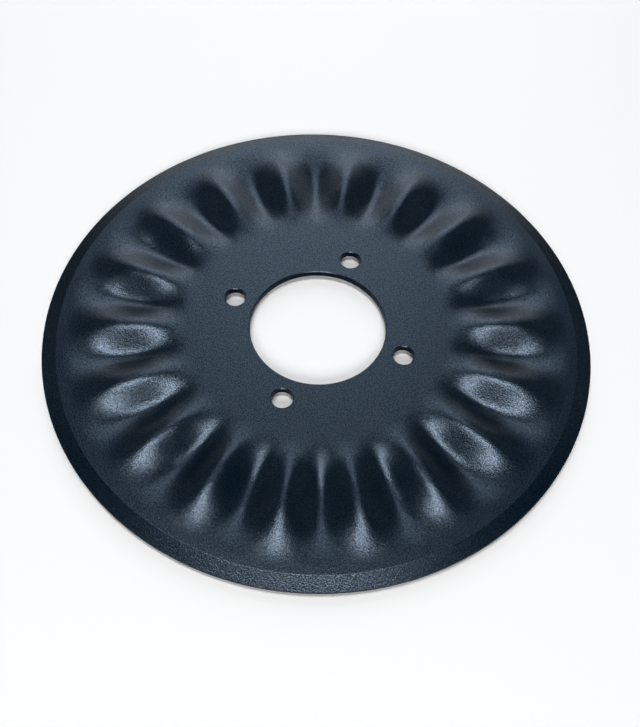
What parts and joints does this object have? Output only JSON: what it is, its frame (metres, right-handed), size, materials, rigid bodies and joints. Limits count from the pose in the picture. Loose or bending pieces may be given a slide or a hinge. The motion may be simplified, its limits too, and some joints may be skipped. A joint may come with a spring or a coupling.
{
  "type": "fluted coulter disc",
  "caption": "Round tillage coulter blade: a flat steel disc with a ring of pressed radial flutes, a bevelled rim, a pilot bore and bolt holes.",
  "frame": {"origin": "centre of the pilot bore, half way through the plate", "axes": "+Z along the disc's axis, towards the bevelled face; +X through the first bolt hole"},
  "size_m": [0.4571, 0.4572, 0.017],
  "materials": {
    "coated_steel": "fine textured satin coating, blue-black"
  },
  "bodies": {
    "root": {"coulter_disc": "coated_steel"}
  },
  "joints": []
}
